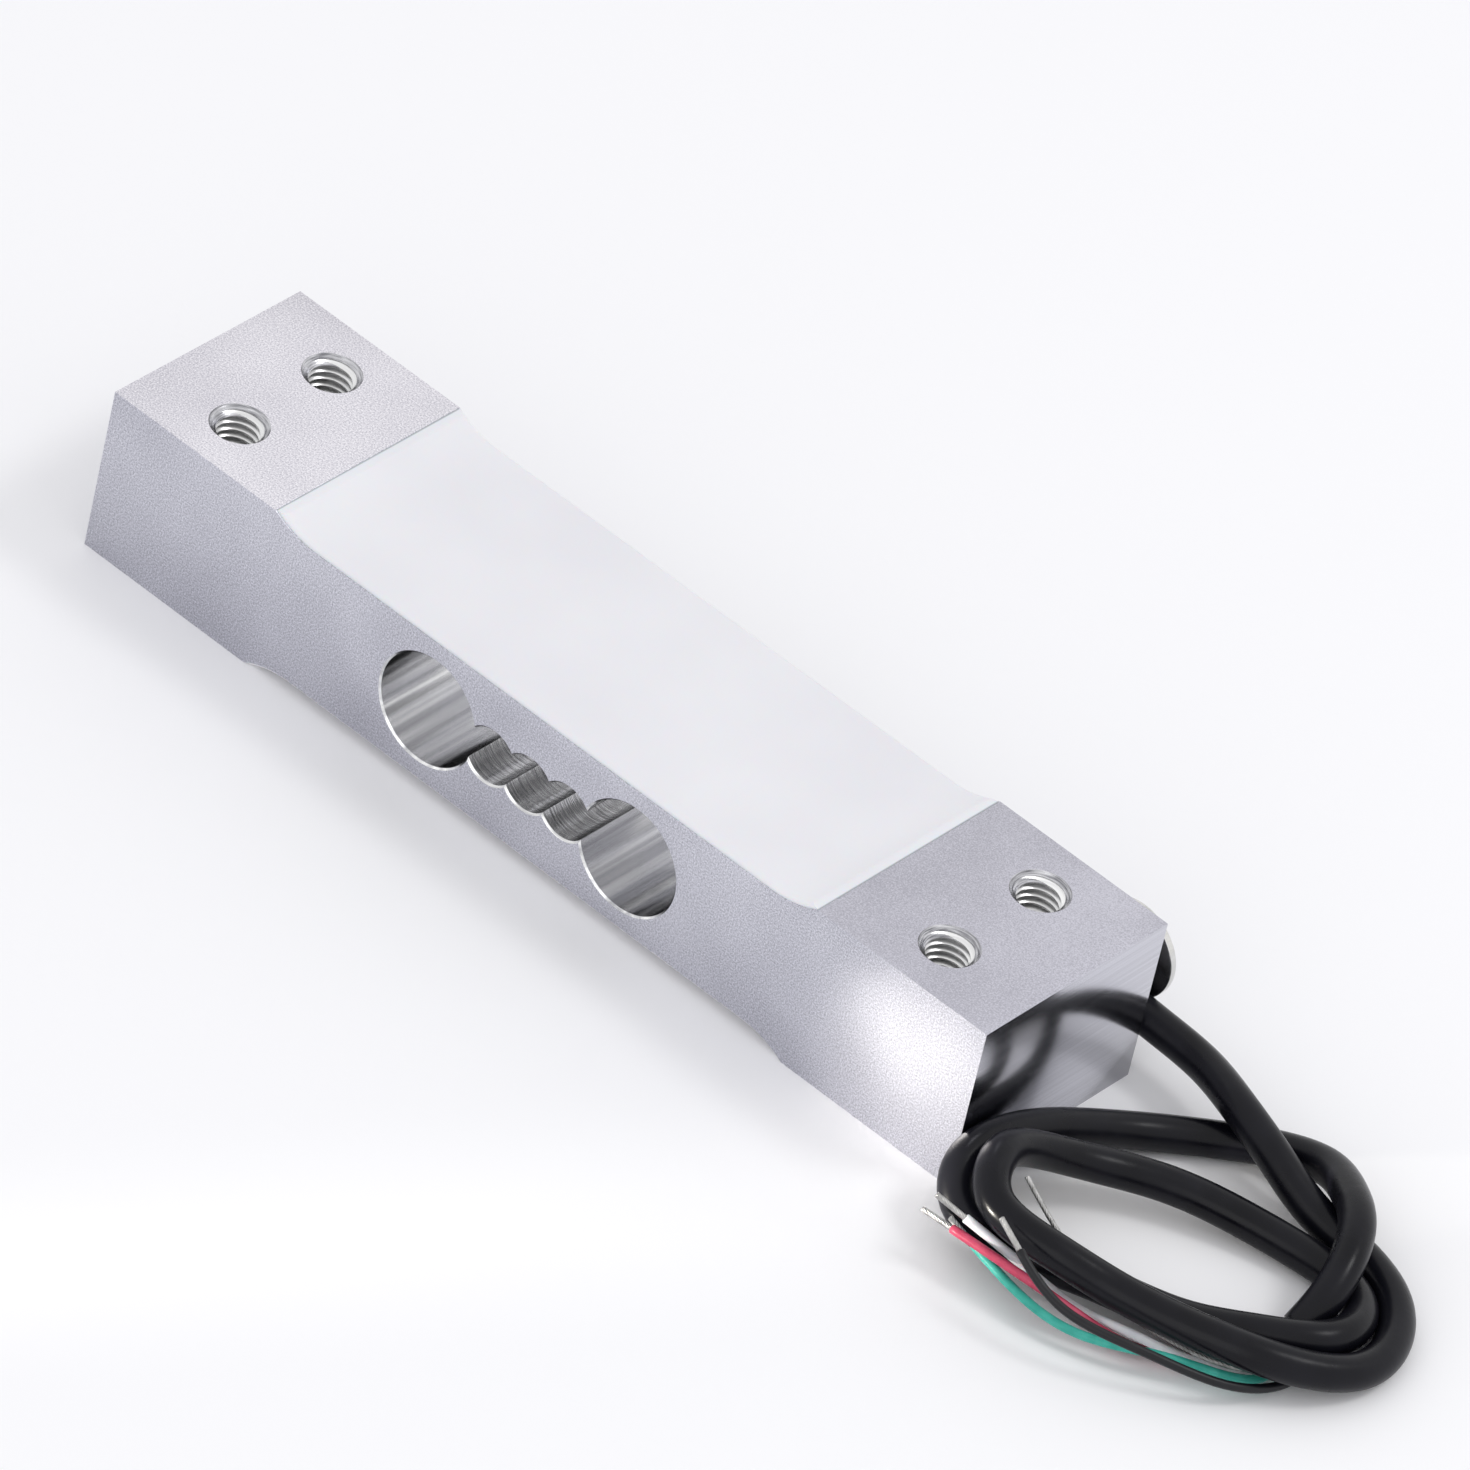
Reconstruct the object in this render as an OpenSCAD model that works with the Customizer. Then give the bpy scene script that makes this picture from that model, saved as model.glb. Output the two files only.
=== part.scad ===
// Parallel beam load cell with its cable lying in loose turns.
// The beam lies along X on Z = 0, its load end at -X and its fixed end, with the cable, at +X.

/* [Beam] */
// Length of the beam
body_l = 130; // [120:1:180]
// Width of the beam
body_w = 30; // [28:1:40]
// Height of the beam
body_h = 22; // [20:1:30]
// Length of the full height pad at each end
pad_l = 24.5; // [23:0.5:27]

/* [Threaded holes] */
// Distance from an end face to the middle of its two holes
hole_inset = 12; // [10:0.5:14]
// Distance between the two holes of an end
hole_pitch = 15; // [12:0.5:18]
// Drilled size of an M6 hole
tap_d = 5; // [4:0.1:6]
// Width of the chamfered mouth of a hole
mouth_d = 7; // [6.5:0.1:8]

/* [Recess] */
// Depth of the recess above and below
recess_depth = 1.8; // [1.5:0.1:2.5]
// Diameter of the cutter that leaves its round at both ends of the recess
cutter_d = 25; // [16:1:40]

/* [Side bores] */
// Diameter of the two outer bores
big_bore_d = 13.8; // [10:0.1:15]
// Distance of an outer bore from the middle of the beam
big_bore_x = 15; // [14:0.1:16]
// Diameter of the row of bores between them
small_bore_d = 7; // [6.5:0.1:8]
// Step between the bores of the row
small_bore_step = 5.6; // [5:0.1:6]
// Number of bores in the row
small_bore_count = 3; // [3:2:5]

/* [Sealant] */
// Thickness of the silicone coat
coat_t = 0.6; // [0.55:0.05:1]
// Bare rim of metal along each side of the coat
coat_rim = 0.2; // [0.1:0.1:1]
// Round of the long edges of the coat
coat_round = 0.5; // [0.2:0.05:0.5]
// Free space in the silicone round what it covers
bed = 0.05; // [0.02:0.01:0.08]

/* [Gauges] */
// Length of a gauge film
film_l = 7; // [6:0.5:8]
// Width of a gauge film
film_w = 5; // [4.5:0.1:5.5]
// Thickness of the film under a gauge or a solder board
film_t = 0.1; // [0.05:0.01:0.15]
// Thickness of the foil on a film
foil_t = 0.05; // [0.03:0.01:0.06]
// Number of strands in a gauge grid
strand_count = 6; // [4:1:7]
// Width of one strand
strand_w = 0.25; // [0.1:0.05:0.3]
// Step between strands
strand_step = 0.55; // [0.5:0.05:0.6]
// Length of the grid
strand_l = 3.4; // [2:0.1:3.6]
// Length of a solder pad
pad_x = 1.4; // [1:0.1:1.6]
// Width of a solder pad
pad_y = 1.2; // [1:0.1:1.4]

/* [Solder boards] */
// Length and width of a solder board
board_side = 8; // [7.8:0.1:9]
// Distance of a jumper from the middle line
jumper_y = 1.5; // [1.3:0.1:1.7]
// Thickness of a jumper
jumper_d = 0.16; // [0.1:0.01:0.2]
// Length of the trim resistor
trim_l = 1; // [0.6:0.1:1.6]
// Width of the trim resistor
trim_w = 0.5; // [0.3:0.1:0.8]
// Height of the trim resistor
trim_h = 0.35; // [0.25:0.05:0.4]
// Length of each end cap of the trim resistor
trim_cap = 0.25; // [0.1:0.05:0.3]

/* [Wiring] */
// Distance from the end face to where the slanted wiring hole comes out
wire_inset = 18; // [17:0.5:19]
// Height of the wiring hole
wire_z = 8.5; // [7:0.5:10]
// Diameter of the wiring hole
wire_hole_d = 6.5; // [6:0.1:8]
// Length of the wiring hole along its slant
wire_hole_l = 21.5; // [21:0.5:23]
// Angle of the wiring hole to the side face
wire_angle = 45; // [44:1:50]
// Diameter of the upright hole that joins both recesses
feed_d = 4; // [3.2:0.1:5]
// Thickness of a link wire
link_d = 0.3; // [0.2:0.05:0.35]
// Distance of a link wire from the middle line of the beam
link_y = 3.2; // [3:0.1:3.3]
// Distance between two link wires in the wiring hole
link_gap = 1.2; // [0.8:0.1:1.4]

/* [Cable clamp] */
// Distance from the end face to the clamp's screw
clamp_inset = 6.7; // [6.2:0.1:7.5]
// Height of the clamp's screw
clamp_z = 11.2; // [11:0.1:12]
// Diameter of the washer
washer_d = 12; // [10:0.5:13]
// Thickness of the washer
washer_t = 0.9; // [0.5:0.1:1.5]
// Thread size of the screw
screw_d = 3; // [2.5:0.5:3]
// Clearance of the screw in the washer, all round
washer_gap = 0.1; // [0.05:0.05:0.3]
// Depth of the screw in the beam
screw_reach = 6; // [4:0.5:6.5]
// Diameter of the screw's head
head_d = 5.6; // [5:0.1:6]
// Height of the screw's head
head_h = 2.2; // [1.6:0.1:2.6]
// Width of the slots of the screw's cross
cross_w = 0.7; // [0.5:0.1:1]
// Length of the slots of the screw's cross
cross_l = 3; // [2:0.1:4]
// Depth of the screw's cross
cross_depth = 1.2; // [0.6:0.1:1.4]

/* [Cable] */
// Diameter of the cable
cable_d = 4.2; // [3:0.1:4.2]
// Play of the cable between the beam and the washer
cable_play = 0.2; // [0:0.05:0.3]
// Length of the cable inside the wiring hole
cable_reach = 9.2; // [7:0.1:12]
// Diameter of an insulated core
core_d = 1.05; // [0.8:0.05:1.1]
// Diameter of a bare tinned end
tip_d = 0.7; // [0.4:0.05:0.8]
// Length of a bare tinned end
tip_l = 4; // [2:0.5:8]
// Diameter of the bare drain wire
drain_d = 0.6; // [0.4:0.05:0.6]
// Distance of the cores from the middle of the cable
core_ring = 0.85; // [0.8:0.05:1]

/* [Hidden] */

$fn = 64;
// How far a cutting shape runs past the face that it cuts
past = 1;

hole_x = body_l / 2 - hole_inset;
floor_z = body_h - recess_depth;
cutter_r = cutter_d / 2;
cutter_x = body_l / 2 - pad_l - sqrt(cutter_d * recess_depth - recess_depth * recess_depth);
ramp_angle = acos((cutter_r - recess_depth) / cutter_r);
coat_w = body_w - 2 * coat_rim;

// Solder pads stand this far in from the edges of a board or film
pad_inset = 0.2;
gauge_pad_x = big_bore_x - film_l / 2 + pad_inset + pad_x / 2;
board_pad_x = board_side / 2 - pad_inset - pad_x / 2;
pad_top = floor_z + film_t + foil_t;

// The slanted wiring hole comes out of the far side at wire_out and ends over the upright hole
wire_way = [cos(wire_angle), sin(wire_angle), 0];
wire_out = [body_l / 2 - wire_inset, body_w / 2, wire_z];
wire_end = wire_out - wire_hole_l * wire_way;
// Free space between the cable and the silicone round it
seal_gap = 0.2;

clamp_x = body_l / 2 - clamp_inset;
washer_y = body_w / 2 + cable_d + cable_play;
head_y = washer_y + washer_t;

// Middle of the cable where it lies on the table, and where it lies along the far side
lay = cable_d / 2;
side_y = body_w / 2 + (cable_d + cable_play) / 2;

// The cable's turns on the table, measured from the end face
turns = [
    [7.5, 17.5, 6], [14, 14.5, 7], [22.5, 12.5, 5.5], [28.5, 11.5, 3], [36, 12, lay], [43.5, 9.5, lay],
    [48, 3.5, lay], [49, -3.5, 2.5], [44.5, -10.5, 4.5], [39, -14, 5.5], [32, -16.5, 5.5], [24.5, -18, 5.5],
    [19, -21, 8], [9.5, -22.5, 8.5], [6, -17, 11], [5.5, -11.5, 8.5], [10, -3.5, 4.5], [16.5, 1.5, 4],
    [23.5, 4.5, 3], [30, 6.5, lay], [38.5, 7.5, lay], [44, 3, 3], [44.5, -4.5, 4.5], [38, -9, 4],
    [31.5, -12.5, 2.5], [25, -14.5, 2.5], [18.5, -16.5, 2.5], [14, -20.5, 3.5], [5.5, -22, 4], [1.5, -17.5, 8],
    [2.5, -7, 6.5], [5, 0.5, 4], [8, 7, lay], [12.5, 11.5, lay], [18.5, 17, lay], [25.5, 18.5, 4],
    [31.5, 14, 6.5], [36.5, 9.5, 8], [40, 2, 6], [39.5, -3, lay]];

// Control points of the cable from the wiring hole, under the washer and through its turns
cable_route = concat(
    [wire_out - cable_reach * wire_way,
     wire_out - 3.5 * wire_way,
     wire_out + [1, 2, 0],
     wire_out + [4, 2.6, -0.5],
     [body_l / 2 - 9, side_y - 0.2, 7.5],
     [body_l / 2 - 5, side_y, 7],
     [body_l / 2 + 0.5, side_y, 6.5]],
    from_end(turns));

// The cores leave the cable's end beside each other, one at each of these angles round its middle
cable_end = [body_l / 2 + turns[len(turns) - 1][0], turns[len(turns) - 1][1], turns[len(turns) - 1][2]];
end_way = unit(turns[len(turns) - 1] - turns[len(turns) - 2]);
red_angle = -135;
white_angle = 135;
black_angle = 45;
green_angle = -45;
// Length over which a core still runs on straight out of the cable
core_run = 2;

// The leads on the table, measured from the end face
red_bends = [[37, -10.5, 1], [34.5, -16, 1], [29, -20, 1.5], [23.5, -22, 3.5], [16, -24.5, 5.5], [8, -25, 5.5]];
white_bends = [[40.5, -10.5, 1], [36, -16, 1.5], [29, -19.5, 3.5], [22.5, -20, 1.5], [15.5, -22, 4.5], [9, -24.5, 7.5]];
black_bends = [[43, -3.5, 1.5], [44.5, -9.5, 1], [41.5, -17, 2.5], [33.5, -22.5, 5.5], [24.5, -27, 6.5], [17.5, -26, 10]];
green_bends = [[42.5, -11.5, 1], [38.5, -15.5, 2], [33.5, -19.5, 3.5], [26, -23.5, 2], [19, -25, 3], [10.5, -24, 4.5]];
drain_bends = [[42.5, -12, 2.5], [36.5, -15.5, 2.5], [28, -17, 2.5], [22.5, -17.5, 4], [16, -17.5, 7], [10.5, -17, 10.5]];

// Control points of a lead that starts on the cable's end face, off its middle
function lead_route(off, angle, bends) =
    let (u = across(end_way), w = cross(end_way, u), start = cable_end + off * (cos(angle) * u + sin(angle) * w))
    concat([start, start + core_run * end_way], from_end(bends));

function from_end(points) = [for (p = points) [body_l / 2 + p[0], p[1], p[2]]];
function unit(v) = v / norm(v);

// One point of a smooth line through control points, which starts and ends on its end points
function smooth(p, i) = i <= 0 ? p[0] : i >= len(p) - 1 ? p[len(p) - 1] : (p[i - 1] + 4 * p[i] + p[i + 1]) / 6;
function heading(p, i) = unit(p[min(i + 1, len(p) - 1)] - p[max(i - 1, 0)]);
function across(t) = unit(cross([0, 0, 1], t));

// A round cord of constant thickness swept along its control points
module cord(p, d, sides) {
    n = len(p);
    rings = [for (i = [0 : n - 1]) let (c = smooth(p, i), t = heading(p, i), u = across(t), w = cross(t, u))
        for (k = [0 : sides - 1]) c + d / 2 * (cos(360 * k / sides) * u + sin(360 * k / sides) * w)];
    walls = [for (i = [0 : n - 2], k = [0 : sides - 1]) let (a = i * sides + k, b = i * sides + (k + 1) % sides)
        each [[a, a + sides, b], [b, a + sides, b + sides]]];
    near_end = [for (k = [0 : sides - 1]) k];
    far_end = [for (k = [sides - 1 : -1 : 0]) (n - 1) * sides + k];
    polyhedron(points = rings, faces = concat(walls, [near_end, far_end]));
}

// A round rod from one point to another
module rod(a, b, d) {
    v = b - a;
    translate(a)
        rotate([0, acos(v[2] / norm(v)), atan2(v[1], v[0])])
            cylinder(d = d, h = norm(v));
}

// A thin wire of straight lengths that meet in sharp bends
module wire(points, d) {
    last = len(points) - 2;
    for (i = [0 : last]) {
        past_bend = d / 2 * unit(points[i + 1] - points[i]);
        rod(points[i] - (i > 0 ? 1 : 0) * past_bend, points[i + 1] + (i < last ? 1 : 0) * past_bend, d, $fn = 8);
    }
}

// A thin plate lying on the plane z
module plate(x, y, z, size) {
    translate([x, y, z + size[2] / 2])
        cube(size, center = true);
}

// Turns what is modelled for the upper face to the lower face
module underside() {
    translate([0, 0, body_h])
        rotate([180, 0, 0])
            children();
}

// Beam

// The milled recess: a flat floor between the rounds that the cutter leaves
module recess_cut() {
    for (s = [-1, 1])
        translate([s * cutter_x, 0, floor_z + cutter_r])
            rotate([90, 0, 0])
                cylinder(d = cutter_d, h = body_w + 2 * past, center = true, $fn = 128);
    translate([-cutter_x, -body_w / 2 - past, floor_z])
        cube([2 * cutter_x, body_w + 2 * past, recess_depth + past]);
}

// A threaded hole at its drilled size, chamfered at both mouths
module tapped_hole() {
    chamfer = (mouth_d - tap_d) / 2;
    translate([0, 0, -past])
        cylinder(d = tap_d, h = body_h + 2 * past);
    translate([0, 0, -chamfer])
        cylinder(d1 = mouth_d + 2 * chamfer, d2 = tap_d, h = 2 * chamfer);
    translate([0, 0, body_h - chamfer])
        cylinder(d1 = tap_d, d2 = mouth_d + 2 * chamfer, h = 2 * chamfer);
}

// The row of bores through the width that leaves four thin places above and below
module side_bores() {
    for (s = [-1, 1])
        translate([s * big_bore_x, 0, body_h / 2])
            rotate([90, 0, 0])
                cylinder(d = big_bore_d, h = body_w + 2 * past, center = true, $fn = 96);
    for (i = [0 : small_bore_count - 1])
        translate([(i - (small_bore_count - 1) / 2) * small_bore_step, 0, body_h / 2])
            rotate([90, 0, 0])
                cylinder(d = small_bore_d, h = body_w + 2 * past, center = true);
}

module beam_body() {
    color([0.74, 0.74, 0.78])
        difference() {
            translate([-body_l / 2, -body_w / 2, 0])
                cube([body_l, body_w, body_h]);
            recess_cut();
            underside() recess_cut();
            for (sx = [-1, 1], sy = [-1, 1])
                translate([sx * hole_x, sy * hole_pitch / 2, 0])
                    tapped_hole();
            side_bores();
            rod(wire_end, wire_out + wire_hole_d * wire_way, wire_hole_d);
            translate([wire_end[0], wire_end[1], -past])
                cylinder(d = feed_d, h = body_h + 2 * past);
            rod([clamp_x, body_w / 2 - screw_reach, clamp_z], [clamp_x, body_w / 2 + past, clamp_z], screw_d);
        }
}

// Sealant

// Section of the coat: flat on top, with round long edges
module coat_section() {
    translate([-coat_w / 2, 0])
        square([coat_w, coat_t - coat_round]);
    translate([-coat_w / 2 + coat_round, 0])
        square([coat_w - 2 * coat_round, coat_t]);
    intersection() {
        for (s = [-1, 1])
            translate([s * (coat_w / 2 - coat_round), coat_t - coat_round])
                circle(r = coat_round, $fn = 32);
        translate([-coat_w / 2, 0])
            square([coat_w, coat_t]);
    }
}

// The coat on the floor of the recess and up both rounds, level with the pads
module coat() {
    translate([0, 0, floor_z])
        rotate([90, 0, 90])
            linear_extrude(height = 2 * cutter_x, center = true)
                coat_section();
    intersection() {
        for (s = [0, 1])
            mirror([s, 0, 0])
                translate([cutter_x, 0, floor_z + cutter_r])
                    rotate([90, 0, 0])
                        rotate([0, 0, -90])
                            rotate_extrude(angle = ramp_angle + 5, $fn = 128)
                                translate([cutter_r, 0])
                                    rotate([0, 0, 90])
                                        coat_section();
        translate([0, 0, body_h / 2])
            cube([body_l, body_w, body_h], center = true);
    }
}

// The spaces that the gauges, board and wires fill in the coat. The upright hole is off the middle line, so its
// side changes when the coat is turned to the lower face
module coat_beds(feed_y) {
    low = floor_z - past;
    thin = past + film_t + foil_t + bed;
    for (s = [-1, 1]) {
        plate(s * big_bore_x, 0, low, [film_l + 2 * bed, film_w + 2 * bed, thin]);
        plate(0, s * jumper_y, low, [2 * gauge_pad_x + pad_x, jumper_d + 2 * bed, thin + jumper_d]);
        translate([board_pad_x - pad_x / 2, s * link_y, low])
            link_bed([wire_end[0] - board_pad_x + pad_x / 2, 0]);
        translate([wire_end[0], s * link_y, low])
            link_bed([0, feed_y + s * (link_gap / 2 - link_y)]);
    }
    plate(0, 0, low, [board_side + 2 * bed, board_side + 2 * bed, thin]);
    plate(0, 0, low, [trim_l + 2 * bed, trim_w + 2 * bed, past + film_t + trim_h + bed]);
}

// The bed of a straight length of link wire that runs along X or Y
module link_bed(run) {
    wide = link_d + 2 * bed;
    translate([min(0, run[0]) - wide / 2, min(0, run[1]) - wide / 2, 0])
        cube([abs(run[0]) + wide, abs(run[1]) + wide, past + film_t + foil_t + link_d + bed]);
}

module top_sealant() {
    color([0.93, 0.93, 0.95])
        difference() {
            coat();
            coat_beds(wire_end[1]);
        }
}

module bottom_sealant() {
    color([0.93, 0.93, 0.95])
        underside()
            difference() {
                coat();
                coat_beds(-wire_end[1]);
            }
}

// The silicone that fills the wiring hole round the cable
module cavity_seal() {
    color([0.9, 0.9, 0.92])
        difference() {
            intersection() {
                rod(wire_out - cable_reach * wire_way, wire_out + wire_hole_d * wire_way, wire_hole_d);
                translate([-body_l / 2, -body_w / 2, 0])
                    cube([body_l, body_w, body_h]);
            }
            rod(wire_out - (cable_reach + past) * wire_way, wire_out + wire_hole_d * wire_way,
                cable_d + 2 * seal_gap);
        }
}

// Gauges, solder boards and their wires, modelled for the upper recess

// A strain gauge: a polymer film with a folded foil grid and two solder pads towards the board
module gauge(side) {
    plate(0, 0, floor_z, [film_l, film_w, film_t]);
    first = -(strand_count - 1) / 2 * strand_step;
    grid_x = side * (film_l / 2 - pad_inset - strand_l / 2);
    for (i = [0 : strand_count - 1])
        plate(grid_x, first + i * strand_step, floor_z + film_t, [strand_l, strand_w, foil_t]);
    for (i = [0 : strand_count - 2])
        plate(grid_x + side * (i % 2 == 0 ? 1 : -1) * (strand_l - strand_w) / 2, first + (i + 0.5) * strand_step,
            floor_z + film_t, [strand_w, strand_step + strand_w, foil_t]);
    for (s = [-1, 1]) {
        plate(-side * (film_l - pad_x - 2 * pad_inset) / 2, s * jumper_y, floor_z + film_t, [pad_x, pad_y, foil_t]);
        plate(-side * (film_l / 2 - pad_inset - pad_x) + side * lead_in / 2, s * (strand_count - 1) / 2 * strand_step,
            floor_z + film_t, [lead_in, strand_w, foil_t]);
    }
}

// The foil between a gauge's grid and its solder pads
lead_in = film_l - 2 * pad_inset - pad_x - strand_l;

module gauge_top_near_load() {
    color([0.8, 0.55, 0.2])
        translate([-big_bore_x, 0, 0])
            gauge(-1);
}

module gauge_top_near_cable() {
    color([0.8, 0.55, 0.2])
        translate([big_bore_x, 0, 0])
            gauge(1);
}

module gauge_bottom_near_load() {
    color([0.8, 0.55, 0.2])
        underside()
            translate([-big_bore_x, 0, 0])
                gauge(-1);
}

module gauge_bottom_near_cable() {
    color([0.8, 0.55, 0.2])
        underside()
            translate([big_bore_x, 0, 0])
                gauge(1);
}

// A solder board: a film with four pads for the jumpers and two for the link wires
module terminal_board() {
    plate(0, 0, floor_z, [board_side, board_side, film_t]);
    for (sx = [-1, 1], sy = [-1, 1])
        plate(sx * board_pad_x, sy * jumper_y, floor_z + film_t, [pad_x, pad_y, foil_t]);
    for (sy = [-1, 1])
        plate(board_pad_x, sy * link_y, floor_z + film_t, [pad_x, pad_y, foil_t]);
}

module top_terminal_board() {
    color([0.85, 0.6, 0.3])
        terminal_board();
}

module bottom_terminal_board() {
    color([0.85, 0.6, 0.3])
        underside() terminal_board();
}

// Four fine wires from the board's pads to the pads of both gauges
module jumpers() {
    z = pad_top + jumper_d / 2;
    for (sx = [-1, 1], sy = [-1, 1])
        rod([sx * board_pad_x, sy * jumper_y, z], [sx * gauge_pad_x, sy * jumper_y, z], jumper_d);
}

module top_jumpers() {
    color([0.75, 0.45, 0.25])
        jumpers();
}

module bottom_jumpers() {
    color([0.75, 0.45, 0.25])
        underside() jumpers();
}

// The small resistor on the upper board that trims the bridge, with a metal cap at each end
module trim_resistor() {
    color([0.15, 0.15, 0.17]) {
        plate(0, 0, floor_z + film_t, [trim_l - trim_cap, trim_w, trim_h - trim_w / 20]);
        for (s = [-1, 1])
            plate(s * (trim_l - trim_cap) / 2, 0, floor_z + film_t, [trim_cap, trim_w, trim_h]);
    }
}

// Two wires from each board, down or up the upright hole and along the wiring hole to the cable
module link_wires() {
    color([0.7, 0.2, 0.2])
        for (s = [-1, 1], up = [-1, 1]) {
            z = body_h / 2 + up * (pad_top + link_d / 2 - body_h / 2);
            low_z = wire_z + up * link_gap / 2;
            side = s * link_gap / 2;
            wire([[board_pad_x, s * link_y, z],
                  [wire_end[0], s * link_y, z],
                  [wire_end[0], wire_end[1] + side, z],
                  [wire_end[0], wire_end[1] + side, low_z],
                  wire_out - (cable_reach + link_d / 2) * wire_way + [-side * wire_way[1], side * wire_way[0], up * link_gap / 2]],
                link_d);
        }
}

// Cable clamp

module clamp_washer() {
    color([0.8, 0.8, 0.82])
        difference() {
            rod([clamp_x, washer_y, clamp_z], [clamp_x, head_y, clamp_z], washer_d);
            rod([clamp_x, washer_y - past, clamp_z], [clamp_x, head_y + past, clamp_z], screw_d + 2 * washer_gap);
        }
}

module clamp_screw() {
    color([0.7, 0.7, 0.72])
        difference() {
            union() {
                rod([clamp_x, body_w / 2 - screw_reach, clamp_z], [clamp_x, head_y, clamp_z], screw_d);
                rod([clamp_x, head_y, clamp_z], [clamp_x, head_y + head_h, clamp_z], head_d);
            }
            for (size = [[cross_l, cross_w], [cross_w, cross_l]])
                translate([clamp_x - size[0] / 2, head_y + head_h - cross_depth, clamp_z - size[1] / 2])
                    cube([size[0], cross_depth + past, size[1]]);
        }
}

// Cable

module cable_jacket() {
    color([0.08, 0.08, 0.09])
        cord(cable_route, cable_d, 10);
}

// The insulation of one core
module lead(angle, bends) {
    cord(lead_route(core_ring, angle, bends), core_d, 8);
}

// The bare tinned end of a core, straight on from its insulation
module tip(bends) {
    ends = from_end(bends);
    last = ends[len(ends) - 1];
    rod(last, last + tip_l * unit(last - ends[len(ends) - 2]), tip_d);
}

module red_lead() {
    color([0.8, 0.22, 0.34])
        lead(red_angle, red_bends);
}

module black_lead() {
    color([0.07, 0.07, 0.08])
        lead(black_angle, black_bends);
}

module green_lead() {
    color([0.16, 0.62, 0.55])
        lead(green_angle, green_bends);
}

module white_lead() {
    color([0.9, 0.9, 0.92])
        lead(white_angle, white_bends);
}

module red_tip() {
    color([0.72, 0.72, 0.72])
        tip(red_bends);
}

module black_tip() {
    color([0.72, 0.72, 0.72])
        tip(black_bends);
}

module green_tip() {
    color([0.72, 0.72, 0.72])
        tip(green_bends);
}

module white_tip() {
    color([0.72, 0.72, 0.72])
        tip(white_bends);
}

// The bare wire of the cable's screen, from the middle of the cable's end
module drain_wire() {
    color([0.72, 0.72, 0.72])
        cord(lead_route(0, 0, drain_bends), drain_d, 8);
}

beam_body();
top_sealant();
bottom_sealant();
gauge_top_near_load();
gauge_top_near_cable();
gauge_bottom_near_load();
gauge_bottom_near_cable();
top_terminal_board();
bottom_terminal_board();
top_jumpers();
bottom_jumpers();
trim_resistor();
link_wires();
cavity_seal();
clamp_washer();
clamp_screw();
cable_jacket();
red_lead();
black_lead();
green_lead();
white_lead();
red_tip();
black_tip();
green_tip();
white_tip();
drain_wire();
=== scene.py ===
import math

import bmesh
import bpy
from mathutils import Matrix, Vector


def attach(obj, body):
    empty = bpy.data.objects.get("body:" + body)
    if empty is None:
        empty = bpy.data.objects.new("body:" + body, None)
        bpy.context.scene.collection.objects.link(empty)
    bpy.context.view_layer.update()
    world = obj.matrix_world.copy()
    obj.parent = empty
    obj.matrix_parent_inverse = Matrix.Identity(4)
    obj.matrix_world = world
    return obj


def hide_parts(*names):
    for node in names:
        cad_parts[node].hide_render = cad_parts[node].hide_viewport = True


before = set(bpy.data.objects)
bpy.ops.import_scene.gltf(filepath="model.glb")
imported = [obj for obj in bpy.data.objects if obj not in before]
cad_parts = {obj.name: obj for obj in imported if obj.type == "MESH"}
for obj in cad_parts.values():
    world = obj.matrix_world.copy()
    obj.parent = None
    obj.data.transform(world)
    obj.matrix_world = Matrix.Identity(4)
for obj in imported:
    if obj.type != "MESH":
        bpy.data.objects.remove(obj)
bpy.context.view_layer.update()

MM = 0.001
bpy.ops.object.select_all(action="DESELECT")
scene = bpy.context.scene


# Camera
# A long lens, far off and high over the near side, so the beam's edges run almost parallel.
camera_data = bpy.data.cameras.new("camera")
camera_data.sensor_width = 36
camera_data.lens = 382.9
camera_data.clip_end = 20
camera = bpy.data.objects.new("camera", camera_data)
scene.collection.objects.link(camera)
view_right = Vector((0.7294, 0.6599, 0.1800))
view_up = Vector((-0.5353, 0.3869, 0.7509))
view_back = view_right.cross(view_up)
camera.matrix_world = Matrix.LocRotScale(
    Vector((0.7359, -1.0903, 1.0968)),
    Matrix((view_right, view_up, view_back)).transposed().to_quaternion(),
    None,
)
scene.camera = camera


# Cable
# A round cable in a black PVC jacket, extruded and still springy. It comes out of the slanted
# hole, runs along the far side under the clamp's washer, and lies on the table in loose turns.
def linear(code):
    """An sRGB hex colour as the linear values that Blender takes."""
    parts = [int(code[i:i + 2], 16) / 255 for i in (1, 3, 5)]
    return [p / 12.92 if p <= 0.04045 else ((p + 0.055) / 1.055) ** 2.4 for p in parts] + [1]


def add(tree, kind, sockets=(), **settings):
    """Adds a node with its settings, and gives its sockets their values or links."""
    node = tree.nodes.new(kind)
    for name, value in settings.items():
        setattr(node, name, value)
    for name, value in dict(sockets).items():
        if isinstance(value, bpy.types.NodeSocket):
            tree.links.new(value, node.inputs[name])
        else:
            node.inputs[name].default_value = value
    return node


def new_material(name):
    """A material with an empty node tree but for its output."""
    material = bpy.data.materials.new(name)
    material.use_nodes = True
    material.node_tree.nodes.clear()
    return material, material.node_tree


def surface(tree, sockets):
    """The material's shader, with its values and links, on the output."""
    shader = add(tree, "ShaderNodeBsdfPrincipled", sockets)
    add(tree, "ShaderNodeOutputMaterial", {"Surface": shader.outputs["BSDF"]})


def from_end(points):
    """Points measured in millimetres from the beam's end face, in metres in the frame."""
    return [Vector((65 + x, y, z)) * MM for x, y, z in points]


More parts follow.
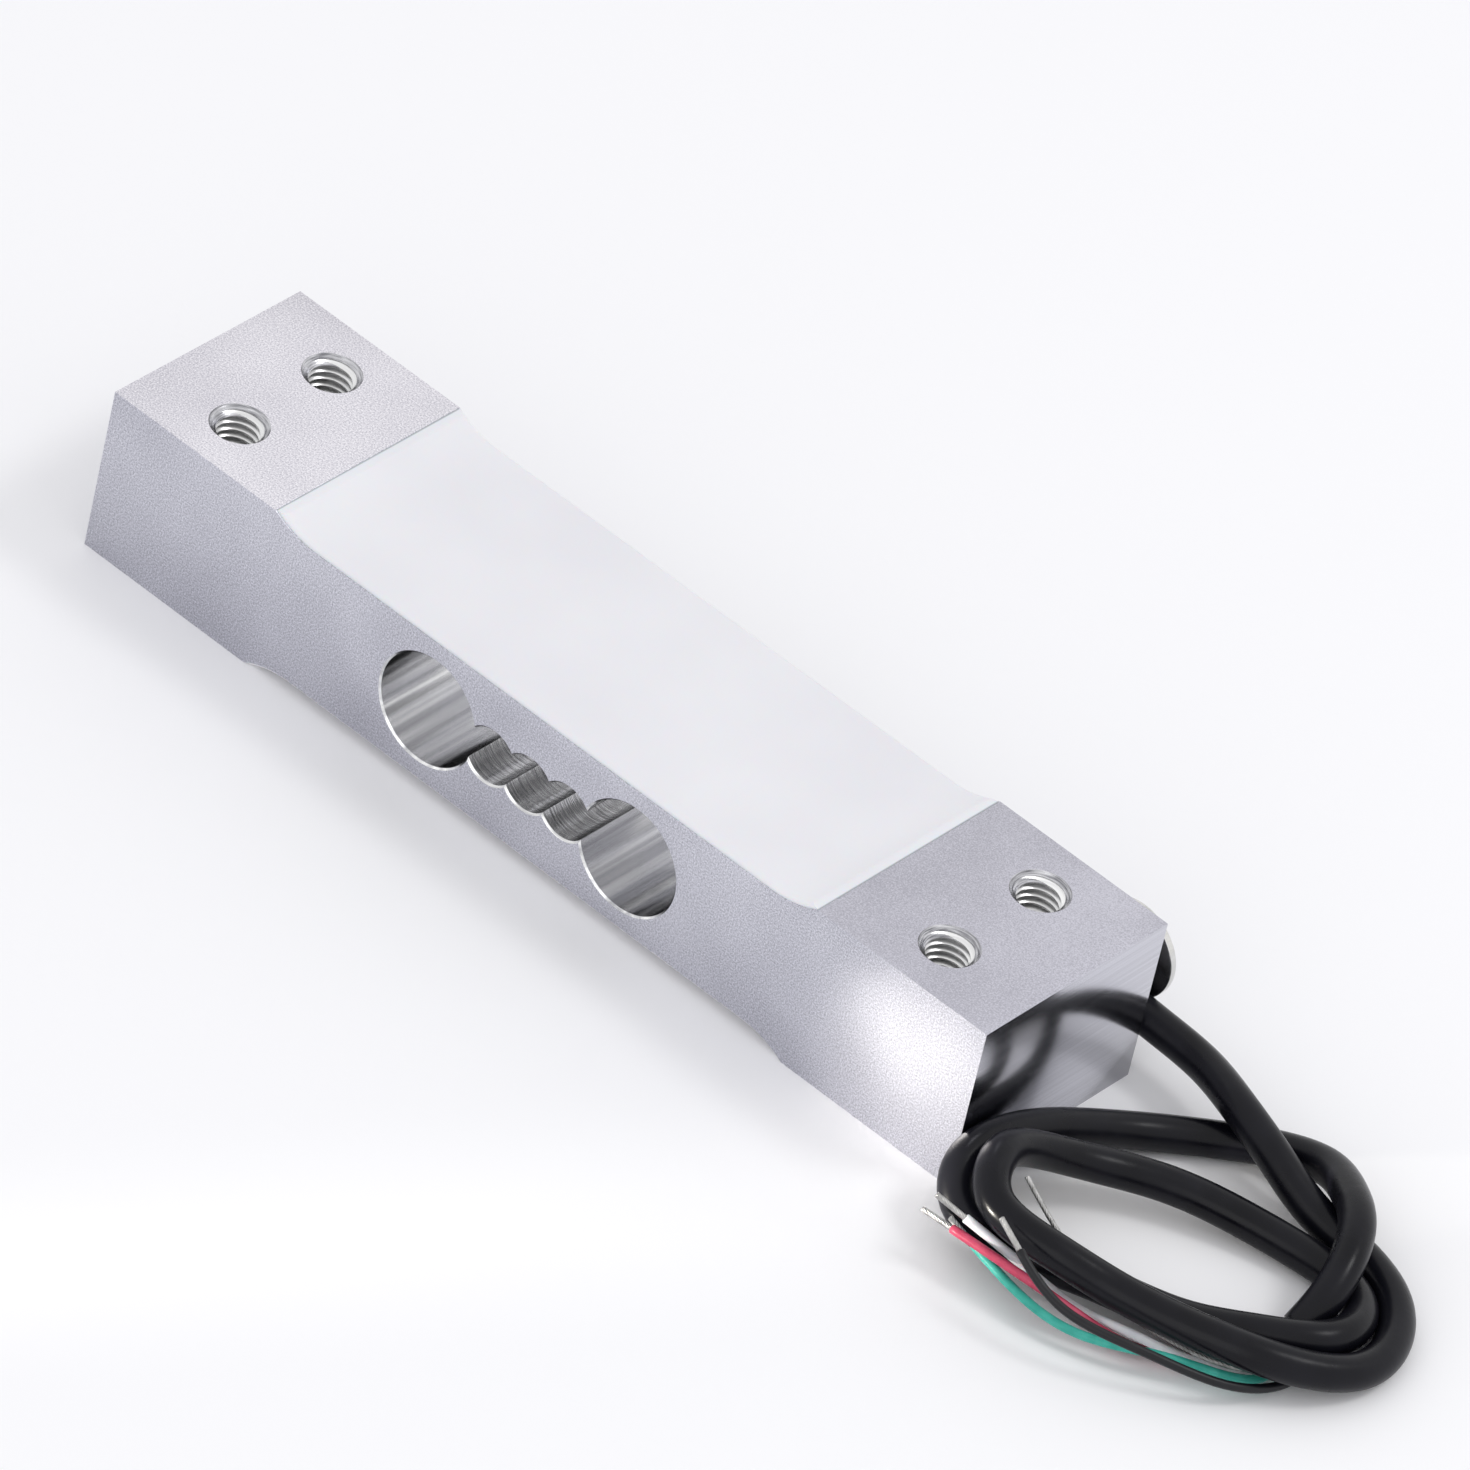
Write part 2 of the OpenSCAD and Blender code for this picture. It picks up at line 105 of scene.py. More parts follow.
# The cable's radius is also the height at which its axis lies on the table, in millimetres
LAY = 2.1
cable_route = from_end([
    (-24.505, 8.495, 8.5), (-20.475, 12.525, 8.5), (-17, 17, 8.5), (-14, 17.6, 8), (-9, 17, 7.5),
    (-5, 17.2, 7), (0.5, 17.2, 6.5),
    (7.5, 17.5, 6), (14, 14.5, 7), (22.5, 12.5, 5.5), (28.5, 11.5, 3), (36, 12, LAY), (43.5, 9.5, LAY),
    (48, 3.5, LAY), (49, -3.5, 2.5), (44.5, -10.5, 4.5), (39, -14, 5.5), (32, -16.5, 5.5), (24.5, -18, 5.5),
    (19, -21, 8), (9.5, -22.5, 8.5), (6, -17, 11), (5.5, -11.5, 8.5), (10, -3.5, 4.5), (16.5, 1.5, 4),
    (23.5, 4.5, 3), (30, 6.5, LAY), (38.5, 7.5, LAY), (44, 3, 3), (44.5, -4.5, 4.5), (38, -9, 4),
    (31.5, -12.5, 2.5), (25, -14.5, 2.5), (18.5, -16.5, 2.5), (14, -20.5, 3.5), (5.5, -22, 4),
    (1.5, -17.5, 8), (2.5, -7, 6.5), (5, 0.5, 4), (8, 7, LAY), (12.5, 11.5, LAY), (18.5, 17, LAY),
    (25.5, 18.5, 4), (31.5, 14, 6.5), (36.5, 9.5, 8), (40, 2, 6), (39.5, -3, LAY),
])


def smooth(route, steps):
    """The smooth line through control points, which starts and ends on its end points."""
    ends = [2 * route[0] - route[1]] + list(route) + [2 * route[-1] - route[-2]]
    line = []
    for i in range(len(route) - 1):
        a, b, c, d = ends[i:i + 4]
        for k in range(steps):
            t = k / steps
            line.append((
                (1 - t) ** 3 * a + (3 * t ** 3 - 6 * t ** 2 + 4) * b
                + (-3 * t ** 3 + 3 * t ** 2 + 3 * t + 1) * c + t ** 3 * d
            ) / 6)
    return line + [route[-1].copy()]


def sweep(name, line, radius, sides, lobes=0, depth=0.0, lay_length=1.0, edge=0.0):
    """A tube along a line, with a rounded edge at both ends and a UV map of turns and metres.

    With lobes, its section is a bundle of that many strands that twists once per lay length."""
    shape = bmesh.new()
    uv = shape.loops.layers.uv.new("UVMap")
    final = len(line) - 1
    tangents = [(line[min(i + 1, final)] - line[max(i - 1, 0)]).normalized() for i in range(len(line))]
    across = Vector((0, 0, 1)).cross(tangents[0]).normalized()
    stations = []
    run = 0.0
    for i, (point, tangent) in enumerate(zip(line, tangents)):
        run += (point - line[i - 1]).length if i else 0.0
        across = (across - across.dot(tangent) * tangent).normalized()
        stations.append((point, tangent, across.copy(), run, radius))
    first, last = stations[0], stations[-1]
    if edge:
        stations[0] = (first[0] + edge * first[1], *first[1:3], edge, radius)
        stations[-1] = (last[0] - edge * last[1], *last[1:3], last[3] - edge, radius)
        stations.insert(0, (*first[:3], 0.0, radius - edge))
        stations.append((*last[:4], radius - edge))
    rings = []
    for point, tangent, side, run, size in stations:
        up = tangent.cross(side)
        ring = []
        for k in range(sides):
            angle = 2 * math.pi * k / sides
            dent = depth * (1 - abs(math.cos(lobes * angle / 2))) if lobes else 0.0
            turn = angle + (2 * math.pi * run / lay_length if lobes else 0.0)
            outward = math.cos(turn) * side + math.sin(turn) * up
            ring.append(shape.verts.new(point + size * (1 - dent) * outward))
        rings.append(ring)
    for i in range(len(rings) - 1):
        for k in range(sides):
            n = (k + 1) % sides
            face = shape.faces.new((rings[i][k], rings[i + 1][k], rings[i + 1][n], rings[i][n]))
            face.smooth = True
            for loop, (u, j) in zip(face.loops, ((k, i), (k, i + 1), (k + 1, i + 1), (k + 1, i))):
                loop[uv].uv = (u / sides, stations[j][3])
    shape.faces.new(rings[0])
    shape.faces.new(rings[-1][::-1])
    bmesh.ops.recalc_face_normals(shape, faces=shape.faces)
    mesh = bpy.data.meshes.new(name)
    shape.to_mesh(mesh)
    shape.free()
    piece = bpy.data.objects.new(name, mesh)
    scene.collection.objects.link(piece)
    return piece


# Extruded PVC: dark and satin, with faint waves left by the die and handling haze in its gloss.
pvc_jacket, tree = new_material("extruded_pvc_black")
place = add(tree, "ShaderNodeTexCoord")
haze = add(tree, "ShaderNodeTexNoise", {"Vector": place.outputs["Object"], "Scale": 160, "Detail": 5})
gloss = add(tree, "ShaderNodeMapRange", {"Value": haze.outputs["Fac"], "From Min": 0.3, "From Max": 0.7,
                                         "To Min": 0.22, "To Max": 0.36})
fine = add(tree, "ShaderNodeTexNoise", {"Vector": place.outputs["Object"], "Scale": 2600, "Detail": 3})
wavy = add(tree, "ShaderNodeTexNoise", {"Vector": place.outputs["Object"], "Scale": 320, "Detail": 2})
grain = add(tree, "ShaderNodeBump", {"Height": fine.outputs["Fac"], "Strength": 0.2, "Distance": 0.00003})
waves = add(tree, "ShaderNodeBump", {"Height": wavy.outputs["Fac"], "Strength": 0.35, "Distance": 0.00015,
                                     "Normal": grain.outputs["Normal"]})
tone = add(tree, "ShaderNodeValToRGB", {"Fac": haze.outputs["Fac"]})
tone.color_ramp.elements[0].position = 0.35
tone.color_ramp.elements[0].color = linear("#0b0b11")
tone.color_ramp.elements[1].position = 0.7
tone.color_ramp.elements[1].color = linear("#14141b")
surface(tree, {"Base Color": tone.outputs["Color"], "Roughness": gloss.outputs["Result"],
               "Normal": waves.outputs["Normal"], "IOR": 1.53, "Specular IOR Level": 0.18})

cable_line = smooth(cable_route, 8)
cable = sweep("cable_tube", cable_line, LAY * MM, 32, edge=0.15 * MM)
cable.data.materials.append(pvc_jacket)
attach(cable, "root")
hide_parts("cable_jacket")


# Leads
# Four stranded cores in coloured PVC and the bare drain wire of the screen. They leave the cut end
# of the jacket side by side, slip out under the turns and rest against them.
def lead_route(off, angle, bends):
    """A lead's control points, from its place on the cable's end face."""
    way = (cable_route[-1] - cable_route[-2]).normalized()
    side = Vector((0, 0, 1)).cross(way).normalized()
    up = way.cross(side)
    turn = math.radians(angle)
    start = cable_route[-1] + off * MM * (math.cos(turn) * side + math.sin(turn) * up)
    return [start, start + 2 * MM * way] + from_end(bends)


def insulation(name, shade, light):
    """Soft thin-walled PVC: even colour, a little lighter where it is stretched thin, and satin."""
    material, tree = new_material(name)
    place = add(tree, "ShaderNodeTexCoord")
    cloud = add(tree, "ShaderNodeTexNoise", {"Vector": place.outputs["Object"], "Scale": 420, "Detail": 3})
    tone = add(tree, "ShaderNodeValToRGB", {"Fac": cloud.outputs["Fac"]})
    tone.color_ramp.elements[0].position = 0.3
    tone.color_ramp.elements[0].color = linear(shade)
    tone.color_ramp.elements[1].position = 0.75
    tone.color_ramp.elements[1].color = linear(light)
    dents = add(tree, "ShaderNodeBump", {"Height": cloud.outputs["Fac"], "Strength": 0.3, "Distance": 0.0001})
    surface(tree, {"Base Color": tone.outputs["Color"], "Roughness": 0.38, "IOR": 1.53,
                   "Specular IOR Level": 0.3, "Normal": dents.outputs["Normal"],
                   "Subsurface Weight": 0.1, "Subsurface Scale": 0.0004})
    return material


# Tinned copper strand: bright tin, dulled a little where it was dipped and handled.
tinned, tree = new_material("tinned_copper_strand")
place = add(tree, "ShaderNodeTexCoord")
patches = add(tree, "ShaderNodeTexNoise", {"Vector": place.outputs["Object"], "Scale": 900, "Detail": 3})
gloss = add(tree, "ShaderNodeMapRange", {"Value": patches.outputs["Fac"], "To Min": 0.22, "To Max": 0.5})
tone = add(tree, "ShaderNodeValToRGB", {"Fac": patches.outputs["Fac"]})
tone.color_ramp.elements[0].position = 0.3
tone.color_ramp.elements[0].color = linear("#8e8d8c")
tone.color_ramp.elements[1].position = 0.7
tone.color_ramp.elements[1].color = linear("#c4c3c2")
surface(tree, {"Base Color": tone.outputs["Color"], "Roughness": gloss.outputs["Result"], "Metallic": 1.0})

leads = {
    "red": (-135, "#a83350", "#c6526c",
            [(37, -10.5, 1), (34.5, -16, 1), (29, -20, 1.5), (23.5, -22, 3.5), (16, -24.5, 5.5),
             (8, -25, 5.5)]),
    "white": (135, "#d3d3d8", "#eeeef1",
              [(40.5, -10.5, 1), (36, -16, 1.5), (29, -19.5, 3.5), (22.5, -20, 1.5), (15.5, -22, 4.5),
               (9, -24.5, 7.5)]),
    "black": (45, "#0d0d12", "#18181d",
              [(43, -3.5, 1.5), (44.5, -9.5, 1), (41.5, -17, 2.5), (33.5, -22.5, 5.5), (24.5, -27, 6.5),
               (17.5, -26, 10)]),
    "green": (-45, "#2b9a8b", "#4dbcab",
              [(42.5, -11.5, 1), (38.5, -15.5, 2), (33.5, -19.5, 3.5), (26, -23.5, 2), (19, -25, 3),
               (10.5, -24, 4.5)]),
}
CORE_OFF = 0.85
CORE_R = 0.525 * MM
TIP_R = 0.35 * MM
TIP_L = 4 * MM
TIP_LAY = 3.5 * MM
for colour, (angle, shade, light, bends) in leads.items():
    route = lead_route(CORE_OFF, angle, bends)
    line = smooth(route, 8)
    piece = sweep(colour + "_core", line, CORE_R, 20, edge=0.08 * MM)
    piece.data.materials.append(insulation("core_pvc_" + colour, shade, light))
    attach(piece, "root")
    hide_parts(colour + "_lead")
    way = (route[-1] - route[-2]).normalized()
    tip_line = [route[-1] + way * TIP_L * k / 24 for k in range(25)]
    tip = sweep(colour + "_strand", tip_line, TIP_R, 42, lobes=7, depth=0.2, lay_length=TIP_LAY,
                edge=0.06 * MM)
    tip.data.materials.append(tinned)
    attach(tip, "root")
    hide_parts(colour + "_tip")

drain_route = lead_route(0, 0, [(42.5, -12, 2.5), (36.5, -15.5, 2.5), (28, -17, 2.5), (22.5, -17.5, 4),
                                (16, -17.5, 7), (10.5, -17, 10.5)])
DRAIN_R = 0.3 * MM
DRAIN_LAY = 4 * MM
drain_line = smooth(drain_route, 24)
drain = sweep("drain_strand", drain_line, DRAIN_R, 42, lobes=7, depth=0.2, lay_length=DRAIN_LAY,
              edge=0.05 * MM)
drain.data.materials.append(tinned)
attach(drain, "root")
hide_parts("drain_wire")


# Beam
# One bar of aluminium alloy, sawn and milled, with a full-width recess above and below and a row of
# bores through its sides that leaves four thin places. Its sides and pads are blasted, its end is milled.
BEAM_L, BEAM_W, BEAM_H = 130 * MM, 30 * MM, 22 * MM


def blasted(name, shade, light, grain_mm, rough, strength, patchy):
    """Blasted aluminium: grey and matte, with a sparkle of facets as wide as the grit.

    The grit is about 0.1 mm, and is drawn up to twice as coarse so that it shows."""
    material, tree = new_material(name)
    place = add(tree, "ShaderNodeTexCoord")
    grit = add(tree, "ShaderNodeTexNoise", {"Vector": place.outputs["Object"],
                                            "Scale": 1 / (grain_mm * MM * 2), "Detail": 3, "Roughness": 0.65})
    cloud = add(tree, "ShaderNodeTexNoise", {"Vector": place.outputs["Object"], "Scale": 60, "Detail": 3})
    both = add(tree, "ShaderNodeMath", {0: cloud.outputs["Fac"], 1: patchy, 2: grit.outputs["Fac"]},
               operation="MULTIPLY_ADD")
    tone = add(tree, "ShaderNodeMapRange", {"Value": both.outputs["Value"], "From Min": 0.36 + patchy / 2,
                                            "From Max": 0.64 + patchy / 2})
    colour = add(tree, "ShaderNodeValToRGB", {"Fac": tone.outputs["Result"]})
    colour.color_ramp.elements[0].color = linear(shade)
    colour.color_ramp.elements[1].color = linear(light)
    relief = add(tree, "ShaderNodeBump", {"Height": grit.outputs["Fac"], "Strength": strength,
                                          "Distance": grain_mm * MM * 0.5})
    surface(tree, {"Base Color": colour.outputs["Color"], "Metallic": 1.0, "Roughness": rough,
                   "Normal": relief.outputs["Normal"]})
    return material


side_blasted = blasted("aluminium_fine_blasted", "#a3a3ad", "#e0e0e8", 0.1, 0.44, 0.55, 0.2)
pad_coarse = blasted("aluminium_coarse_blasted", "#c0bec7", "#f7f5fa", 0.1, 0.48, 0.5, 0.2)
pad_fine = blasted("aluminium_pad_blasted", "#acabb5", "#cfced8", 0.09, 0.42, 0.35, 0.3)


def machined(name, shade, light, rough, line_mm, strength):
    """Machined metal: bright, with tool lines as wide and as long as line_mm gives along x, y and z. The
    lines set its colour too; in the large bores that colour holds painted reflection bands, and in the hole
    mouths painted shade.
    """
    material, tree = new_material(name)
    place = add(tree, "ShaderNodeTexCoord")
    turned = add(tree, "ShaderNodeMapping", {"Vector": place.outputs["Object"],
                                             "Scale": [1 / (size * MM) for size in line_mm]})
    lines = add(tree, "ShaderNodeTexNoise", {"Vector": turned.outputs["Vector"], "Scale": 1.0, "Detail": 3})
    colour = add(tree, "ShaderNodeValToRGB", {"Fac": lines.outputs["Fac"]})
    colour.color_ramp.elements[0].position = 0.3
    colour.color_ramp.elements[0].color = linear(shade)
    colour.color_ramp.elements[1].position = 0.7
    colour.color_ramp.elements[1].color = linear(light)
    gloss = add(tree, "ShaderNodeMapRange", {"Value": lines.outputs["Fac"], "To Min": rough * 0.8,
                                             "To Max": rough * 1.25})
    relief = add(tree, "ShaderNodeBump", {"Height": lines.outputs["Fac"], "Strength": strength,
                                          "Distance": 0.00003})
    surface(tree, {"Base Color": colour.outputs["Color"], "Metallic": 1.0,
                   "Roughness": gloss.outputs["Result"], "Normal": relief.outputs["Normal"]})
    return material


# The end is milled across, the large bores are drawn through lengthwise, and the small ones are drilled. The
# large bores' lengthwise lines are tool lines in their relief and gloss, and painted reflection bands in
# their colour
end_milled = machined("aluminium_end_milled", "#bdbdc5", "#cfcfd7", 0.17, (40, 40, 0.35), 0.12)
bore_lines_painted_reflection = machined("aluminium_bore_lines_painted_reflection", "#b4b4b8", "#fdfdfd", 0.14, (1.6, 90, 1.1), 0.35)
bore_drilled = machined("aluminium_bore_drilled", "#b0b0b2", "#fdfdfd", 0.2, (4, 0.24, 4), 1.2)
thread_cut = machined("aluminium_thread_cut", "#d6d6d7", "#fdfdfd", 0.3, (40, 40, 0.2), 0.1)
# The hole mouths have turned rings in their relief and gloss, and their dark grey is painted shade
mouth_rings_painted_shade = machined("aluminium_mouth_rings_painted_shade", "#66666c", "#d9d9dd", 0.24, (2.5, 2.5, 0.16), 0.9)


def select_only(piece):
    bpy.ops.object.select_all(action="DESELECT")
    piece.select_set(True)
    bpy.context.view_layer.objects.active = piece


def settle(piece):
    """Puts a finished piece's place, turn and size into its mesh."""
    select_only(piece)
    bpy.ops.object.transform_apply(location=True, rotation=True, scale=True)


def finish_with(piece, kind, **settings):
    """Adds one modifier to a piece and applies it."""
    select_only(piece)
    modifier = piece.modifiers.new(kind.lower(), kind)
    for name, value in settings.items():
        setattr(modifier, name, value)
    bpy.ops.object.modifier_apply(modifier=modifier.name)


def cut(piece, tool):
    """Cuts the tool's shape out of the piece. The cut faces keep the tool's material."""
    finish_with(tool, "TRIANGULATE")
    finish_with(piece, "BOOLEAN", operation="DIFFERENCE", solver="EXACT", object=tool,
                material_mode="TRANSFER")
    bpy.data.meshes.remove(tool.data)


def edit_faces(piece, wanted):
    """Opens the active piece in edit mode with only the wanted faces selected."""
    bpy.ops.object.mode_set(mode="EDIT")
    bpy.ops.mesh.select_mode(type="FACE")
    bpy.ops.mesh.select_all(action="DESELECT")
    bpy.ops.object.mode_set(mode="OBJECT")
    for polygon in piece.data.polygons:
        polygon.select = wanted(polygon)
    bpy.ops.object.mode_set(mode="EDIT")


bpy.ops.mesh.primitive_cube_add(size=1, location=(0, 0, BEAM_H / 2), scale=(BEAM_L, BEAM_W, BEAM_H))
beam = bpy.context.object
beam.name = "beam"
settle(beam)
beam.data.materials.append(side_blasted)

# The recess cutter is a mill 25 mm across that runs along the beam, drawn out over its whole travel
CUTTER_R = 12.5 * MM
RECESS = 1.8 * MM
PAD_EDGE = 40.5 * MM
cutter_x = PAD_EDGE - math.sqrt(2 * CUTTER_R * RECESS - RECESS ** 2)
for face in (1, -1):
    middle = BEAM_H / 2 + face * (BEAM_H / 2 - RECESS + CUTTER_R)
    bpy.ops.mesh.primitive_cylinder_add(vertices=180, radius=CUTTER_R / math.cos(math.pi / 180),
                                        depth=2 * BEAM_W, rotation=(math.pi / 2, math.pi / 180, 0),
                                        location=(0, 0, middle))
    mill = bpy.context.object
    settle(mill)
    mill.data.materials.append(side_blasted)
    for vertex in mill.data.vertices:
        vertex.co.x += cutter_x if vertex.co.x > 0 else -cutter_x
    cut(beam, mill)
finish_with(beam, "BEVEL", width=0.12 * MM, segments=2, limit_method="ANGLE", angle_limit=math.radians(20))
finish_with(beam, "TRIANGULATE")

# Bores through the sides, each with a narrow chamfer where it breaks out
CHAMFER = 0.22 * MM
bores = [(x, 6.9, bore_lines_painted_reflection, 96) for x in (-15, 15)]
bores += [(x, 3.5, bore_drilled, 64) for x in (-5.6, 0, 5.6)]
for x, radius, finish, sides in bores:
    bpy.ops.mesh.primitive_cylinder_add(vertices=sides, radius=radius * MM, depth=BEAM_W - 2 * CHAMFER,
                                        rotation=(math.pi / 2, 0, 0), location=(x * MM, 0, BEAM_H / 2))
    drill = bpy.context.object
    settle(drill)
    drill.data.materials.append(finish)
    for way in (1, -1):
        edit_faces(drill, lambda polygon: polygon.normal.y * way > 0.9)
        flare = 1 + 2 * CHAMFER / (radius * MM)
        bpy.ops.mesh.extrude_region_move(TRANSFORM_OT_translate={"value": (0, way * 2 * CHAMFER, 0)})
        bpy.ops.transform.resize(value=(flare, 1, flare),
                                 center_override=(x * MM, way * (BEAM_W / 2 + CHAMFER), BEAM_H / 2))
        bpy.ops.object.mode_set(mode="OBJECT")
    cut(beam, drill)

# M6 threads of 1 mm pitch, cut through from both faces and chamfered at both mouths
PITCH = 1 * MM
TURNS = 25
HOLE_X, HOLE_Y = 53, 7.5
thread_profile = [(2.5, 0.0), (2.5, 0.2), (3.02, 0.52), (3.02, 0.64), (2.5, 0.96), (2.5, 1.0)]
for x in (-HOLE_X, HOLE_X):
    for y in (-HOLE_Y, HOLE_Y):
        profile = bpy.data.meshes.new("tap")
        profile.from_pydata([(r * MM, 0, z * MM) for r, z in thread_profile],
                            [(i, i + 1) for i in range(len(thread_profile) - 1)], [])
        tap = bpy.data.objects.new("tap", profile)
        scene.collection.objects.link(tap)
        tap.location = (x * MM, y * MM, -1.5 * MM)
        finish_with(tap, "SCREW", angle=2 * math.pi, screw_offset=PITCH, iterations=TURNS, steps=40,
                    render_steps=40, use_merge_vertices=True, merge_threshold=1e-6)
        settle(tap)
        bpy.ops.object.mode_set(mode="EDIT")
        bpy.ops.mesh.select_mode(type="VERT")
        bpy.ops.mesh.select_all(action="SELECT")
        bpy.ops.mesh.remove_doubles(threshold=1e-6)
        for end in (1, -1):
            bpy.ops.mesh.select_all(action="DESELECT")
            bpy.ops.mesh.select_non_manifold()
            bpy.ops.object.mode_set(mode="OBJECT")
            for vertex in tap.data.vertices:
                vertex.select = vertex.select and (vertex.co.z - BEAM_H / 2) * end > 0
            bpy.ops.object.mode_set(mode="EDIT")
            bpy.ops.mesh.edge_face_add()
        bpy.ops.mesh.select_all(action="SELECT")
        bpy.ops.mesh.normals_make_consistent(inside=False)
        bpy.ops.object.mode_set(mode="OBJECT")
        tap.data.materials.append(thread_cut)
        cut(beam, tap)
        for turn, height in ((math.pi, BEAM_H - 0.1 * MM), (0, 0.1 * MM)):
            bpy.ops.mesh.primitive_cone_add(vertices=64, radius1=4.5 * MM, radius2=2.3 * MM, depth=2.2 * MM,
                                            rotation=(turn, 0, 0), location=(x * MM, y * MM, height))
            sink = bpy.context.object
            settle(sink)
            sink.data.materials.append(mouth_rings_painted_shade)
            cut(beam, sink)

# The slanted wiring hole, the upright hole that meets it, and the clamp screw's hole
for radius, depth, turn, place_mm in (
        (3.25, 28, (math.pi / 2, 0, -math.pi / 4), (41.7, 9.7, 8.5)),
        (2, 24, (0, 0, 0.05), (31.797, -0.203, 11)),
        (1.5, 7, (math.pi / 2, 0, 0), (58.3, 12.5, 11.2))):
    bpy.ops.mesh.primitive_cylinder_add(vertices=44, radius=radius * MM, depth=depth * MM, rotation=turn,
                                        location=[v * MM for v in place_mm])
    drill = bpy.context.object
    settle(drill)
    drill.data.materials.append(bore_drilled)
    cut(beam, drill)

# The cuts leave hair-thin gaps between faces, which a weld of a thousandth of a millimetre closes
select_only(beam)
bpy.ops.object.mode_set(mode="EDIT")
bpy.ops.mesh.select_mode(type="VERT")
bpy.ops.mesh.select_all(action="SELECT")
bpy.ops.mesh.remove_doubles(threshold=1e-6)
bpy.ops.object.mode_set(mode="OBJECT")

for finish in (pad_coarse, pad_fine, end_milled):
    beam.data.materials.append(finish)
slots = {m.name: i for i, m in enumerate(beam.data.materials)}
for polygon in beam.data.polygons:
    if polygon.material_index != slots[side_blasted.name]:
        continue
    at, n = polygon.center, polygon.normal
    if abs(n.x) > 0.9:
        polygon.material_index = slots[end_milled.name]
    elif abs(n.z) > 0.9 and abs(at.x) > PAD_EDGE:
        polygon.material_index = slots[(pad_fine if at.x > 0 else pad_coarse).name]
select_only(beam)
bpy.ops.object.shade_smooth_by_angle(angle=math.radians(25))
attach(beam, "root")
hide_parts("beam_body")


# Sealant coats
# White silicone, spread by hand over the gauges in both recesses and levelled with the pads. It is
# soft and satin, thin along the far edge and rounded where it stops at the near one.
silicone, tree = new_material("silicone_white_spread")
place = add(tree, "ShaderNodeTexCoord")
spread = add(tree, "ShaderNodeTexNoise", {"Vector": place.outputs["Object"], "Scale": 45, "Detail": 2})
dust = add(tree, "ShaderNodeTexNoise", {"Vector": place.outputs["Object"], "Scale": 1500, "Detail": 2})
grain = add(tree, "ShaderNodeBump", {"Height": dust.outputs["Fac"], "Strength": 0.12, "Distance": 0.00004})
relief = add(tree, "ShaderNodeBump", {"Height": spread.outputs["Fac"], "Strength": 0.25, "Distance": 0.0006,
                                      "Normal": grain.outputs["Normal"]})
tone = add(tree, "ShaderNodeValToRGB", {"Fac": spread.outputs["Fac"]})
tone.color_ramp.elements[0].position = 0.3
tone.color_ramp.elements[0].color = linear("#e7e6ea")
tone.color_ramp.elements[1].position = 0.7
tone.color_ramp.elements[1].color = linear("#edecef")
# A painted shadow darkens the seam, a quarter of a millimetre wide, where the coat meets a pad
along = add(tree, "ShaderNodeSeparateXYZ", {"Vector": place.outputs["Object"]})
reach = add(tree, "ShaderNodeMath", {0: along.outputs["X"]}, operation="ABSOLUTE")
seam_shadow = add(tree, "ShaderNodeMapRange", {"Value": reach.outputs["Value"], "From Min": 40.2 * MM,
                                        "From Max": 40.45 * MM})
shade = add(tree, "ShaderNodeMix", {"Factor": seam_shadow.outputs["Result"]}, data_type="RGBA")
tree.links.new(tone.outputs["Color"], shade.inputs[6])
# The grey of the painted shadow in the seam
shade.inputs[7].default_value = linear("#8f8f94")
surface(tree, {"Base Color": shade.outputs[2], "Roughness": 0.42, "IOR": 1.41,
               "Normal": relief.outputs["Normal"], "Subsurface Weight": 0.15, "Subsurface Scale": 0.001})

COAT = 0.6 * MM
COAT_W = 29.6 * MM
FLOOR = BEAM_H - RECESS
ROUND_W, ROUND_H = 0.9 * MM, 0.5 * MM
RAMP = math.acos(1 - RECESS / CUTTER_R)

# The section across the beam is flat with two round edges
quarter = [math.radians(a) for a in range(0, 91, 15)]
rise = [(COAT_W / 2 - ROUND_W * (1 - math.cos(a)), COAT - ROUND_H * (1 - math.sin(a))) for a in quarter]
section = [(COAT_W / 2, 0)] + rise + [(-y, h) for y, h in reversed(rise)] + [(-COAT_W / 2, 0)]
outline = bpy.data.meshes.new("top_coat")
outline.from_pydata([(-cutter_x, y, FLOOR + h) for y, h in section], [], [list(range(len(section)))])
coat = bpy.data.objects.new("top_coat", outline)
scene.collection.objects.link(coat)
select_only(coat)
bpy.ops.object.mode_set(mode="EDIT")
bpy.ops.mesh.select_mode(type="FACE")
bpy.ops.mesh.select_all(action="SELECT")
for step in range(20):
    bpy.ops.mesh.extrude_region_move(TRANSFORM_OT_translate={"value": (2 * cutter_x / 20, 0, 0)})
# It follows the rounds that the mill left, up to both pads
for way in (1, -1):
    edit_faces(coat, lambda polygon: len(polygon.vertices) > 4 and polygon.center.x * way > 0)
    bpy.ops.mesh.spin(steps=24, angle=way * (RAMP + 0.08), center=(way * cutter_x, 0, FLOOR + CUTTER_R),
                      axis=(0, 1, 0))
bpy.ops.mesh.select_all(action="SELECT")
bpy.ops.mesh.normals_make_consistent(inside=False)
bpy.ops.object.mode_set(mode="OBJECT")
# The trowel leaves it 0.03 mm below the pads, so a block 5 mm high takes the rest off
TRIM_H = 5 * MM
bpy.ops.mesh.primitive_cube_add(size=1, location=(0, 0, BEAM_H + TRIM_H / 2 - 0.03 * MM),
                                scale=(BEAM_L, 2 * BEAM_W, TRIM_H))
trim = bpy.context.object
settle(trim)
cut(coat, trim)
coat.data.materials.clear()
coat.data.materials.append(silicone)
lower = coat.copy()
lower.data = coat.data.copy()
lower.name = "bottom_coat"
scene.collection.objects.link(lower)
lower.data.transform(Matrix.Translation((0, 0, BEAM_H)) @ Matrix.Rotation(math.pi, 4, "X"))
for piece, node in ((coat, "top_sealant"), (lower, "bottom_sealant")):
    select_only(piece)
    bpy.ops.object.shade_smooth_by_angle(angle=math.radians(40))
    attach(piece, "root")
    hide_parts(node)


